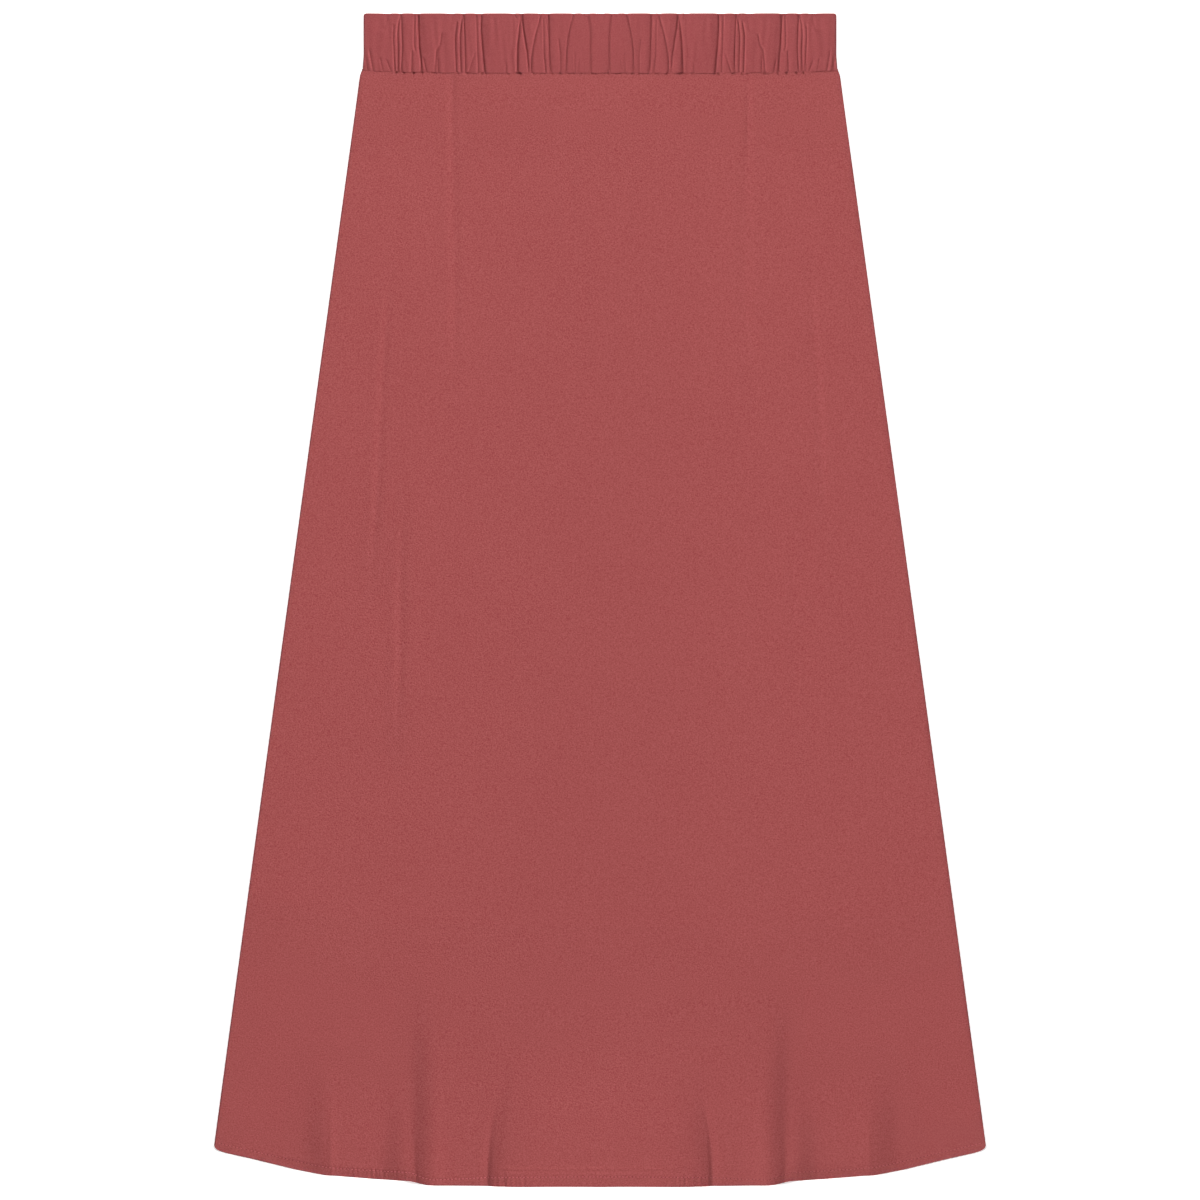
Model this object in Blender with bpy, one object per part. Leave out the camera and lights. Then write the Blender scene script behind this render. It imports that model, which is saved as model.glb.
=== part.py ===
"""A flared midi skirt, laid flat and face up.

Two A-line panels lie one on the other. A strip gathered over flat elastic is sewn to their tops. Each hem is
turned up inside, and fans out in soft flutes with narrow valleys between them.

Metres, +Z up. The waist points to +Y and the hem to -Y. The origin is the middle of the flat underside.
Each piece is a grid laid out as the cloth's outer face, then extruded to its inner face.
"""

from collections import namedtuple

import bmesh
import bpy

MM = 0.001

# Outline, lying flat
LENGTH = 0.800  # waist edge to the lowest point of the hem
WAIST_HALF = 0.1613  # half the width of the waistband
BAND_FOOT_HALF = 0.1620  # and at its sewn edge
BAND_HEIGHT = 0.0410  # at the middle, over 40 mm elastic
SEAM_RISE = 0.0017  # the seam runs this much higher at the sides
PANEL_TOP_HALF = 0.1634  # the straight side lines, produced up to the seam
HEM_HALF = 0.2634  # the widest point, at the hem corners
SHOULDER_IN = 0.0008  # the side line turns in this much at the seam
SHOULDER_DEPTH = 0.0045
BAND_CORNER = 0.0020  # radius of the waistband's top corners

# Walls
PANEL_WALL = 0.0010
HEM_WALL = 0.0016  # with the cloth turned up inside
HEM_DEPTH = 0.0110
HEM_STEP = 0.0018  # the turned edge fades into the panel over this length
BAND_WALL = 0.0024  # two layers of cloth with the elastic between them
SEAM_GAP = 0.0003
LAYER_GAP = 0.0004  # between the front and the back

# Heights
BACK_SHARE = 0.5  # the back's flutes stand this much as high as the front's
BAND_LIFT = 0.0019  # the front panel climbs this much to meet the middle of its waistband's edge
SIDE_LIFT = 0.0009  # at the side seams both panels climb this much
LIFT_LENGTH = 0.030
SIDE_LIFT_WIDTH = 0.025

TOP_Y = LENGTH / 2
HEM_Y = -LENGTH / 2
PANEL_LENGTH = LENGTH - BAND_HEIGHT
BAND_PLANE = BAND_WALL + SEAM_GAP  # the front waistband's plain inside

# The hem's edge, from the middle out to the corner
HemPoint = namedtuple("HemPoint", "across_mm rise_mm")
HEM_EDGE = (
    HemPoint(0.0, 0.0),
    HemPoint(58.0, 0.3),
    HemPoint(99.0, 0.9),
    HemPoint(116.0, 1.4),
    HemPoint(124.0, 2.6),
    HemPoint(132.0, 4.0),
    HemPoint(152.0, 4.8),
    HemPoint(169.0, 6.3),
    HemPoint(180.0, 7.4),
    HemPoint(186.0, 7.5),
    HemPoint(197.0, 9.3),
    HemPoint(206.0, 11.0),
    HemPoint(238.0, 18.8),
    HemPoint(255.0, 22.6),
    HemPoint(259.0, 23.8),
    HemPoint(262.0, 25.4),
    HemPoint(263.4, 28.0),
)
CORNER_RISE = HEM_EDGE[-1].rise_mm * MM

# The valleys between the flutes, from the middle out. A valley starts reach_mm above the hem, fade_mm from the
# middle, and meets the hem hem_mm from the middle. Its floor stands floor_mm high at the hem, and the flute
# between it and the next one bulges crown_mm more.
Valley = namedtuple("Valley", "hem_mm fade_mm reach_mm floor_mm crown_mm")
VALLEYS = (
    Valley(0.0, 0.0, 100.0, 4.0, 2.8),
    Valley(72.6, 59.7, 83.0, 1.2, 5.6),
    Valley(122.4, 125.5, 150.0, 1.0, 3.6),
    Valley(150.0, 138.0, 36.0, 3.0, 2.2),
    Valley(192.0, 192.0, 70.0, 1.0, 1.8),
)
FLUTE_ROUNDNESS = 2.4  # 2 is a parabola, and more is flatter on top
FLUTE_GROWTH = 1.5  # how a flute swells towards the free edge
FLUTE_STATIONS = (0.0, 0.07, 0.2, 0.35, 0.5, 0.65, 0.8, 0.93)

# The waistband's creases, from the middle out: where each one crosses the top, middle and foot of the band, and
# how deep it is pinched.
Crease = namedtuple("Crease", "top_mm middle_mm foot_mm pinch_mm")
CREASES = (
    Crease(7.7, 6.0, 5.8, 0.6),
    Crease(17.7, 21.7, 23.0, 0.6),
    Crease(29.0, 28.0, 26.7, 0.2),
    Crease(34.9, 34.6, 33.4, 0.6),
    Crease(40.2, 44.7, 46.4, 0.5),
    Crease(52.6, 50.6, 48.2, 0.6),
    Crease(54.2, 55.7, 56.3, 0.9),
    Crease(59.1, 59.2, 60.4, 0.2),
    Crease(80.7, 80.3, 78.2, 0.8),
    Crease(92.0, 91.7, 91.2, 0.5),
    Crease(93.2, 95.0, 94.6, 0.5),
    Crease(96.8, 98.5, 97.9, 0.5),
    Crease(106.7, 108.4, 112.5, 0.3),
    Crease(123.5, 123.1, 121.6, 0.8),
    Crease(134.8, 134.4, 134.8, 0.5),
    Crease(136.0, 137.4, 137.4, 0.6),
    Crease(140.2, 140.4, 139.8, 0.5),
    Crease(149.4, 148.8, 147.7, 0.2),
    Crease(157.0, 156.0, 154.5, 0.2),
)
PUFF_SHARE = 0.13  # a gather puffs up by this share of its width
PUFF_MOST = 0.0010
PUFF_ROUNDNESS = 2.8
PUFF_STATIONS = (0.0, 0.16, 0.5, 0.84)

# Sections of the waistband, from the sewn foot to the fold at the top: share of the height, how far the outer
# face sinks as it turns in, and how full the gathers are there.
BandRow = namedtuple("BandRow", "height sink_mm fullness")
BAND_ROWS = (
    BandRow(0.0, 0.9, 0.5),
    BandRow(0.04, 0.2, 0.8),
    BandRow(0.14, 0.0, 1.0),
    BandRow(0.5, 0.0, 1.0),
    BandRow(0.86, 0.0, 0.9),
    BandRow(0.97, 0.2, 0.7),
    BandRow(1.0, 0.9, 0.4),
)

# Sections round the waistband's side folds: distance in from the end, and how far the outer face sinks.
SideSection = namedtuple("SideSection", "inset_mm sink_mm")
BAND_ENDS = (
    SideSection(2.0, 0.1),
    SideSection(1.2, 0.3),
    SideSection(0.5, 0.6),
    SideSection(0.0, 1.1),
)

# Rows of a panel, above the hem and below the waist seam
ABOVE_HEM_MM = (0.0, 5.0, 18.0, 26.0, 36.0, 48.0, 60.0, 70.0, 83.0, 100.0, 122.0, 150.0, 420.0)
BELOW_SEAM_MM = (45.0, 30.0, 24.0, 18.0, 12.0, 7.0, 4.5, 2.0, 0.8, 0.0)

CREPE_COLOUR = (0.356, 0.080, 0.080, 1.0)
BAND_COLOUR = (0.348, 0.074, 0.076, 1.0)


def lerp(start, end, share):
    return start + (end - start) * share


def clamped(share):
    return min(1.0, max(0.0, share))


def smooth(share):
    share = clamped(share)
    return share * share * (3 - 2 * share)


def arch(share, roundness):
    """Height across one fold of cloth, 0 at both creases and 1 in the middle."""
    return 1 - abs(2 * share - 1) ** roundness


def hem_rise(across):
    """How far the hem's edge lies above its lowest point."""
    across_mm = min(abs(across) / MM, HEM_EDGE[-1].across_mm)
    for inner, outer in zip(HEM_EDGE, HEM_EDGE[1:]):
        if across_mm <= outer.across_mm:
            break
    share = (across_mm - inner.across_mm) / (outer.across_mm - inner.across_mm)
    return lerp(inner.rise_mm, outer.rise_mm, share) * MM


def seam_y(across):
    """The waist seam, which sags a little between the sides."""
    sag = SEAM_RISE * (abs(across) / BAND_FOOT_HALF) ** 4
    return TOP_Y - BAND_HEIGHT + sag


def panel_half(above_hem):
    """Half the panel's width in one row: a straight line with a small shoulder under the waistband."""
    below_seam = PANEL_LENGTH - above_hem
    straight = lerp(PANEL_TOP_HALF, HEM_HALF, below_seam / PANEL_LENGTH)
    return straight - SHOULDER_IN * clamped(1 - below_seam / SHOULDER_DEPTH) ** 2


def flute_growth(above_hem, reach):
    return clamped(1 - above_hem / reach) ** FLUTE_GROWTH


def valley_across(valley, above_hem):
    """A valley runs straight up to its start. Above that the line keeps its share of the panel's width."""
    reach = valley.reach_mm * MM
    if above_hem < reach:
        return lerp(valley.hem_mm, valley.fade_mm, above_hem / reach) * MM
    return valley.fade_mm * MM * panel_half(above_hem) / panel_half(reach)


def flute_section(above_hem):
    """One row across half the panel: (distance from the middle, height), from the middle to the side."""
    lines = []
    for valley in VALLEYS:
        reach = valley.reach_mm * MM
        floor = valley.floor_mm * MM * flute_growth(above_hem, reach)
        lines.append((valley_across(valley, above_hem), floor, reach, valley.crown_mm * MM))
    lines.append((panel_half(above_hem), 0.0, lines[-1][2], 0.0))
    section = []
    for (across, floor, reach, crown), (next_across, next_floor, next_reach, _) in zip(lines, lines[1:]):
        bulge = crown * flute_growth(above_hem, (reach + next_reach) / 2)
        for share in FLUTE_STATIONS:
            height = lerp(floor, next_floor, share) + bulge * arch(share, FLUTE_ROUNDNESS)
            section.append((lerp(across, next_across, share), height))
    section.append((panel_half(above_hem), 0.0))
    return section


def mirrored(section):
    """A section from side to side, from its half that starts in the middle."""
    return [(-across, *rest) for across, *rest in section[:0:-1]] + [tuple(point) for point in section]


def panel_rows():
    """Each row's share of the way from the waist seam, 0, to the hem, 1."""
    shares = [1 - above * MM / PANEL_LENGTH for above in ABOVE_HEM_MM]
    shares += [below * MM / PANEL_LENGTH for below in BELOW_SEAM_MM]
    shares.append(1 - (HEM_DEPTH + HEM_STEP) / PANEL_LENGTH)
    shares.append(1 - HEM_DEPTH / PANEL_LENGTH)
    return sorted(shares)


def panel_wall(above_hem):
    return lerp(HEM_WALL, PANEL_WALL, smooth((above_hem - HEM_DEPTH) / HEM_STEP))


def seam_lifts(across, above_hem):
    """How far the back and the front climb to the waistband. They stay together at the side seams."""
    near_seam = smooth(1 - (PANEL_LENGTH - above_hem) / LIFT_LENGTH)
    near_side = smooth(1 - (panel_half(above_hem) - abs(across)) / SIDE_LIFT_WIDTH)
    return SIDE_LIFT * near_side * near_seam, lerp(BAND_LIFT, SIDE_LIFT, near_side) * near_seam


def panel_points(facing):
    """Rows of (x, y, outer z, inner z) for the front panel, facing 1, or the back one, facing -1."""
    hem_section = mirrored(flute_section(0.0))
    rows = []
    for share in panel_rows():
        above_hem = (1 - share) * PANEL_LENGTH
        wall = panel_wall(above_hem)
        row = []
        for (across, height), (hem_across, _) in zip(mirrored(flute_section(above_hem)), hem_section):
            y = lerp(seam_y(across) - SEAM_GAP / 2, HEM_Y + hem_rise(hem_across), share)
            back_lift, front_lift = seam_lifts(across, above_hem)
            under = height * BACK_SHARE + back_lift
            inner = height + front_lift + wall + LAYER_GAP
            if facing > 0:
                row.append((across, y, inner + wall, inner))
            else:
                row.append((across, y, under, under + wall))
        rows.append(row)
    return rows


def crease_across(crease, height):
    """Where a crease lies at this share of the band's height, on a parabola through its three points."""
    foot, middle, top = crease.foot_mm, crease.middle_mm, crease.top_mm
    bend = 2 * (foot + top - 2 * middle)
    return (foot + (top - foot - bend) * height + bend * height * height) * MM


def gather_section(height, half_width):
    """One section across half the front band: (distance from the middle, height above the wall, end sink)."""
    inner_end = half_width - BAND_ENDS[0].inset_mm * MM
    lines = [(crease_across(crease, height), -crease.pinch_mm * MM) for crease in CREASES]
    lines = [(-lines[0][0], lines[0][1])] + lines + [(inner_end, 0.0)]
    section = []
    for (across, pinch), (next_across, next_pinch) in zip(lines, lines[1:]):
        puff = min(PUFF_MOST, PUFF_SHARE * (next_across - across))
        for share in PUFF_STATIONS:
            if across < 0 and share < 0.5:
                continue  # the middle gather belongs to both halves
            relief = lerp(pinch, next_pinch, share) + puff * arch(share, PUFF_ROUNDNESS)
            section.append((lerp(across, next_across, share), relief, 0.0))
    return section + end_sections(half_width)


def end_sections(half_width):
    return [(half_width - end.inset_mm * MM, 0.0, end.sink_mm * MM) for end in BAND_ENDS]


def plain_section(half_width):
    return [(0.0, 0.0, 0.0)] + end_sections(half_width)


def corner_drop(across, half_width):
    """How far the band's top edge falls in its rounded corner."""
    into = max(0.0, abs(across) - (half_width - BAND_CORNER))
    return BAND_CORNER - max(0.0, BAND_CORNER**2 - into**2) ** 0.5


def band_points(facing):
    """Rows of (x, y, outer z, inner z) for the front half of the waistband, facing 1, or the back, facing -1."""
    rows = []
    for band_row in BAND_ROWS:
        half_width = lerp(BAND_FOOT_HALF, WAIST_HALF, smooth(band_row.height * 3))
        if facing > 0:
            section = mirrored(gather_section(band_row.height, half_width))
        else:
            section = mirrored(plain_section(half_width))
        row = []
        for across, relief, end_sink in section:
            foot_y = seam_y(across) + SEAM_GAP / 2
            y = lerp(foot_y, TOP_Y - corner_drop(across, half_width), band_row.height)
            sink = max(band_row.sink_mm * MM, end_sink)
            if facing > 0:
                outer = BAND_PLANE + BAND_WALL - sink + relief * band_row.fullness
                row.append((across, y, outer, BAND_PLANE))
            else:
                row.append((across, y, sink, BAND_WALL))
        rows.append(row)
    return rows


def cloth_material(name, colour, roughness):
    material = bpy.data.materials.new(name)
    material.use_nodes = True
    shader = material.node_tree.nodes["Principled BSDF"]
    shader.inputs["Base Color"].default_value = colour
    shader.inputs["Roughness"].default_value = roughness
    shader.inputs["Metallic"].default_value = 0.0
    material.diffuse_color = colour
    return material


def cloth_solid(name, rows, material, collection):
    """A grid whose points are laid on the cloth's outer face, extruded to the inner face as one closed wall."""
    columns = len(rows[0])
    mesh_builder = bmesh.new()
    inner_height = mesh_builder.verts.layers.float.new("inner_height")
    bmesh.ops.create_grid(mesh_builder, x_segments=columns - 1, y_segments=len(rows) - 1, size=1.0)
    for vert in mesh_builder.verts:
        column = round((vert.co.x + 1) / 2 * (columns - 1))
        row = round((vert.co.y + 1) / 2 * (len(rows) - 1))
        x, y, outer, inner = rows[row][column]
        vert.co = (x, y, outer)
        vert[inner_height] = inner
    extruded = bmesh.ops.extrude_face_region(mesh_builder, geom=mesh_builder.faces[:])
    for element in extruded["geom"]:
        if isinstance(element, bmesh.types.BMVert):
            element.co.z = element[inner_height]
    bmesh.ops.recalc_face_normals(mesh_builder, faces=mesh_builder.faces[:])
    mesh = bpy.data.meshes.new(name)
    mesh_builder.to_mesh(mesh)
    mesh_builder.free()
    mesh.shade_smooth()
    mesh.set_sharp_from_angle(angle=0.7)
    mesh.materials.append(material)
    piece = bpy.data.objects.new(name, mesh)
    collection.objects.link(piece)
    return piece


def main():
    for leftover in list(bpy.data.objects):
        bpy.data.objects.remove(leftover)
    collection = bpy.data.collections.new("flared_midi_skirt")
    bpy.context.scene.collection.children.link(collection)
    crepe = cloth_material("matte crepe", CREPE_COLOUR, 0.85)
    band_cloth = cloth_material("waistband cloth", BAND_COLOUR, 0.6)
    cloth_solid("front_panel", panel_points(1), crepe, collection)
    cloth_solid("back_panel", panel_points(-1), crepe, collection)
    cloth_solid("waistband_front", band_points(1), band_cloth, collection)
    cloth_solid("waistband_back", band_points(-1), band_cloth, collection)


main()
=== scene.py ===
"""The looks of a flared midi skirt that lies flat and face up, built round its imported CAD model.

Each CAD solid is replaced by a thin cloth shell of the same form, with finer folds, gathers and stitches.
A shell is a fine grid that wraps round the cloth's edges, and a coarse grid that lines it.

Metres, +Z up. The waist points to +Y and the hem to -Y. "Across" is the distance from the middle line,
"above" is the distance above the hem's edge, and "above_low" is that above the hem's lowest point.
"""

import math
from collections import namedtuple

import bmesh
import bpy
import numpy as np
from mathutils import Matrix, Vector


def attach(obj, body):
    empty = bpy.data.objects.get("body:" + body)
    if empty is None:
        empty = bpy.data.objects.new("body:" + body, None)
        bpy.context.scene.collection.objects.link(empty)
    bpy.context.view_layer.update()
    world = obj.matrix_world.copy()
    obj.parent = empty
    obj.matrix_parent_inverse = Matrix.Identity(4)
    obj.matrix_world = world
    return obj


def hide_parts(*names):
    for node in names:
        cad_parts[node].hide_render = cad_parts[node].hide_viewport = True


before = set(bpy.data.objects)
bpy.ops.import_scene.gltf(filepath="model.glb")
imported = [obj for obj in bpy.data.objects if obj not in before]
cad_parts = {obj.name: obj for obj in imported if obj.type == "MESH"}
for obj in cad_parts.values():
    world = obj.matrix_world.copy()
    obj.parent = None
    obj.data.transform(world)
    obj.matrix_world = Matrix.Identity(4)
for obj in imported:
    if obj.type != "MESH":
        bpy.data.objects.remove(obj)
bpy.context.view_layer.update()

MM = 0.001
FACE_UP = 1
FACE_DOWN = -1

# Outline, as in the CAD source
LENGTH = 0.800
TOP_Y = LENGTH / 2
HEM_Y = -LENGTH / 2
WAIST_HALF = 0.1613
BAND_HEIGHT = 0.0410
BAND_FOOT_Y = TOP_Y - BAND_HEIGHT
BAND_FOOT_HALF = 0.1620
BAND_CORNER = 0.0020
SEAM_RISE = 0.0017  # the waist seam climbs by this much to the sides
PANEL_LENGTH = LENGTH - BAND_HEIGHT
PANEL_TOP_HALF = 0.1634
HEM_HALF = 0.2634
SHOULDER_IN = 0.0008  # the panel's top corners are rounded by this much
SHOULDER_DEPTH = 0.0045

# The hem's edge: (across, above the hem's lowest point) in mm
HEM_EDGE_MM = (
    (0.0, 0.0), (58.0, 0.3), (99.0, 0.9), (112.0, 1.25), (118.0, 1.6), (124.0, 2.6), (129.0, 3.7),
    (134.0, 4.1), (152.0, 4.8), (169.0, 6.3), (180.0, 7.3), (187.0, 7.6), (197.0, 9.3), (206.0, 11.0),
    (238.0, 18.8), (255.0, 22.6), (259.0, 23.8), (261.6, 25.1), (262.8, 26.4), (263.4, 28.0),
)

# Heights and walls of the panels
FRONT_TOP = 0.0024  # the front panel's face where it lies flat
CLOTH = 0.0009
HEM_WALL = 0.0015  # with the turned-up cloth inside
HEM_WALL_END = 0.0122  # the thick wall ends this far above the hem
HEM_WALL_STEP = 0.0012
HEM_LIFT = 0.0004  # the turned-up hems raise the front's face by this much
SEAM_LINE_Z = 0.0012  # the side seams' height
SEAM_LINE_LIFT = 0.0012  # and how much they climb to the waistband
SEAM_LINE_LIFT_LENGTH = 0.03
WAIST_LIFT = 0.0010  # both panels climb by this much to the waist seam
FRONT_LIFT_LENGTH = 0.045
BACK_LIFT_LENGTH = 0.02
BACK_SHARE = 0.5  # the back's flutes are this much of the front's
SIDE_ROUND = 0.0009  # the sides are rounded over this width
TUCKS = (0.0014, 0.0006)  # how far the panel's first rows reach up under the waistband
TUCK_NARROWING = 0.999
HEM_TURN_STEPS = 9

# Heights and walls of the waistband
BAND_WALL = 0.0024
BAND_PLANE = 0.0027  # the front waistband's plain inside
BAND_FOLD_Z = 0.00255  # the waistband's side folds
BAND_CROWN = 0.00063
FOOT_WALL = 0.0007
FOOT_RISE = 0.0015  # the front band's outside over its plane, at its foot
BAND_SIDE_ROUND = 0.0010
SIDE_STEP = 0.0001  # keeps the waistband's turned rows apart at its side folds
BACK_GATHER_START = 0.159  # the back's gathers are counted from here, so they differ from the front's

# Places of the grids' outermost columns, in from each side, and the step to the next one
EDGE_INSETS = np.array([0.0, 0.03, 0.1, 0.22, 0.4, 0.65, 1.0, 1.6]) * MM
EDGE_STEP = 0.6 * MM

# A panel's rows: the first ones below the seam, then where three even stretches start and end
SEAM_ROWS = np.array([0.0, 0.15, 0.4, 0.8, 1.4, 2.2, 3.5, 6.0, 10.0, 16.0, 24.0, 34.0, 46.0, 60.0]) * MM
BODY_ROWS = (0.080, PANEL_LENGTH - 0.160)  # below the seam
FLUTE_ROWS = (0.150, 0.0185)  # above the hem
HEM_ROWS = (0.0175, 0.0012)

# Steps round the waistband's top fold and its foot, and where its lining starts below the fold
TOP_FOLD_STEPS = 13
FOOT_TURN_STEPS = 11
LINING_TOP = 5 * MM
LINING_STEPS = 9

# Flutes of the hem. Each is a cross-section of (across at the hem, across where it fades, rise) in mm, and
# reaches this far up. Its outer side is steep.
Flute = namedtuple("Flute", "reach section")
FLUTES = (
    Flute(112.0, ((0.0, 0.0, 0.6), (8.0, 8.0, 0.2), (18.0, 18.0, 0.0))),
    Flute(92.0, (
        (0.0, 0.0, 2.7), (30.0, 26.0, 2.7), (50.0, 43.0, 2.8), (58.0, 49.0, 2.6), (66.0, 54.5, 2.2),
        (70.5, 57.0, 1.7), (75.0, 59.0, 0.8), (79.0, 61.5, 0.2), (83.0, 65.0, 0.02), (88.0, 71.0, 0.0),
    )),
    Flute(150.0, (
        (0.0, 0.0, 2.9), (50.0, 48.0, 3.7), (84.0, 82.0, 4.2), (104.0, 103.0, 4.9), (112.0, 110.0, 5.1),
        (116.0, 115.5, 4.6), (119.5, 119.5, 3.6), (123.0, 123.5, 2.2), (126.0, 127.0, 1.0),
        (129.0, 131.0, 0.35), (133.0, 136.0, 0.05), (138.0, 143.0, 0.0),
    )),
    Flute(74.0, (
        (98.0, 98.0, 0.0), (114.0, 112.0, 0.6), (129.0, 127.0, 2.4), (134.0, 132.0, 2.9),
        (138.5, 136.0, 2.4), (143.0, 140.0, 1.3), (147.5, 144.5, 0.4), (152.0, 149.0, 0.1),
        (158.0, 155.0, 0.0),
    )),
    Flute(84.0, (
        (115.0, 115.0, 0.0), (160.0, 159.0, 2.1), (184.0, 183.0, 3.2), (189.0, 187.5, 2.9),
        (194.0, 192.0, 1.9), (199.0, 196.0, 0.9), (204.0, 200.0, 0.3), (210.0, 205.0, 0.05),
        (217.0, 211.0, 0.0),
    )),
)
FLUTE_POWER = 1.5  # a larger one fades the flutes out lower down
FLUTE_TOP = 0.151  # nothing of a flute lies higher
FLUTE_SOFTNESS = 1.7 * MM
FLUTE_STEP = 0.3 * MM
FLUTE_SPAN = 0.28
LEAST_RISE = 0.3 * MM  # below this rise the folds sink the cloth less and less, never under its flat face

# Finer folds by the hem: points (across, above the hem's lowest point) in mm, depth, outer and inner width
Fold = namedtuple("Fold", "points depth outer inner")
HEM_FOLDS = (
    Fold(((183.8, 5.5), (183.8, 24.6), (183.1, 75.7)), -0.25, 1.6, 3.0),
    Fold(((124.6, 1.4), (126.0, 15.7), (126.4, 40.0)), 0.35, 2.6, 1.4),
    Fold(((76.4, 0.0), (76.2, 14.3), (75.0, 32.0), (69.5, 62.0)), 0.8, 3.4, 1.6),
    Fold(((64.8, 0.0), (65.8, 17.7)), 0.45, 1.8, 0.7),
    Fold(((57.3, 0.0), (59.0, 19.1)), 0.25, 1.5, 0.7),
    Fold(((51.2, 0.0), (51.5, 15.0)), 0.30, 1.5, 0.7),
    Fold(((77.4, 0.0), (76.7, 12.3)), 0.25, 1.5, 0.7),
    Fold(((5.5, 0.0), (6.1, 14.3)), 0.25, 0.8, 0.8),
    Fold(((13.6, 0.0), (14.0, 9.5)), 0.22, 0.8, 0.8),
)
FOLD_FADE = 0.8  # share of a fold's length over which it fades out

# Faint creases in the body of the front panel, in the same columns
BODY_CREASES = (
    Fold(((98.5, 577.0), (99.9, 672.0), (101.3, 775.0)), 0.30, 2.4, 2.4),
    Fold(((153.1, 444.0), (149.7, 522.0), (145.6, 600.0)), 0.25, 2.6, 2.6),
    Fold(((136.1, 331.0), (136.1, 441.0)), 0.22, 2.6, 2.6),
    Fold(((7.8, 600.0), (22.8, 673.0)), 0.25, 3.0, 2.4),
)
BODY_CREASE_FADE = 0.03

# Row of stitches along the hem: (across, above the hem's lowest point) in mm
STITCH_LINE_MM = (
    (0.0, 7.2), (54.2, 7.1), (74.7, 6.7), (88.3, 5.9), (102.0, 5.5), (114.2, 5.3), (121.1, 6.8),
    (127.9, 9.5), (132.6, 10.2), (149.7, 10.6), (170.2, 11.9), (186.5, 13.4), (197.8, 15.1),
    (211.4, 18.2), (257.5, 28.9), (261.5, 29.8),
)
STITCH_ROW_HALF = 0.2608
STITCH_PATH_STEP = 0.1 * MM
STITCH_PITCH = 0.00250
STITCH_SCATTER = 0.12  # how far a stitch may lie out of step, in mm
STITCH_LENGTH = 0.0014
STITCH_LENGTH_SPREAD = (0.92, 1.08)
STITCH_TILT = 0.10  # how far its ends may lie off the line, in mm
STITCH_RINGS = (-1.0, -0.9, -0.6, 0.0, 0.6, 0.9, 1.0)  # cross-sections, in shares of half its length
STITCH_CROWN = 0.17  # height of a stitch's middle over the cloth, in mm
STITCH_DIP = 0.20  # and how far its ends lie under that
THREAD_RADIUS = 0.00025
THREAD_SIDES = 6
THREAD_FLATNESS = 0.8
# Needle holes are small lenses coloured dark: painted shade for the dips where the thread goes into the
# cloth
HOLE_SIDES = 8
HOLE_HALF_WIDTHS = (0.30, 0.42)  # the least and the most along the row, in mm
HOLE_HALF_HEIGHTS = (0.16, 0.26)  # and across it
HOLE_RIM = 0.07  # height of a needle hole's rim over the cloth, in mm
HOLE_MIDDLES = (0.02, -0.25)  # the same of its two middle points
GROOVE_DEPTH = 0.14 * MM  # the stitches lie in this groove
GROOVE_WIDTH = 0.75 * MM

# Uneven waves: each one is drawn out and pressed together by a slower one
Wave = namedtuple("Wave", "height rate sway slow_rate")

# Puckers of the hem: their least height, the places with larger ones as (across, half width, growth) in mm,
# their two trains of waves, and how far they reach up
PUCKER_LEAST = 0.025
PUCKER_ZONES = ((150, 26, 0.085), (62, 17, 0.08))
PUCKER_WAVES = (Wave(1.0, 2 * math.pi / (2.9 * MM), 2.2, 61), Wave(0.7, 2 * math.pi / (4.3 * MM), 1.7, 83))
PUCKER_START_FADE = 1.5 * MM
PUCKER_TOP = 8.6 * MM
PUCKER_TOP_FADE = 2.5 * MM

# Rise over the turned-up hem: it ends gently by the sides and crisply in the middle, at these heights
GENTLE_END = 22 * MM
GENTLE_FADE = 20 * MM
CRISP_END = 14.6 * MM
CRISP_FADE = 3.2 * MM
CRISP_LIFT = 1.7
MIDDLE_HALF = 0.072
MIDDLE_FADE = 0.014

# The faint line over the turned-up cloth, nearly gone by the sides
TURN_LINE = 10.9 * MM
TURN_LINE_DEPTH = 0.50 * MM
TURN_LINE_WIDTH = 0.8 * MM
TURN_LINE_LEAST = 0.05

# How far up the hem rolls down: under the stitches, over the outer flutes and in the middle
ROLL_STRIP = 7.0 * MM
ROLL_WIDE = 24 * MM
ROLL_MIDDLE = 60 * MM

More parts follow.
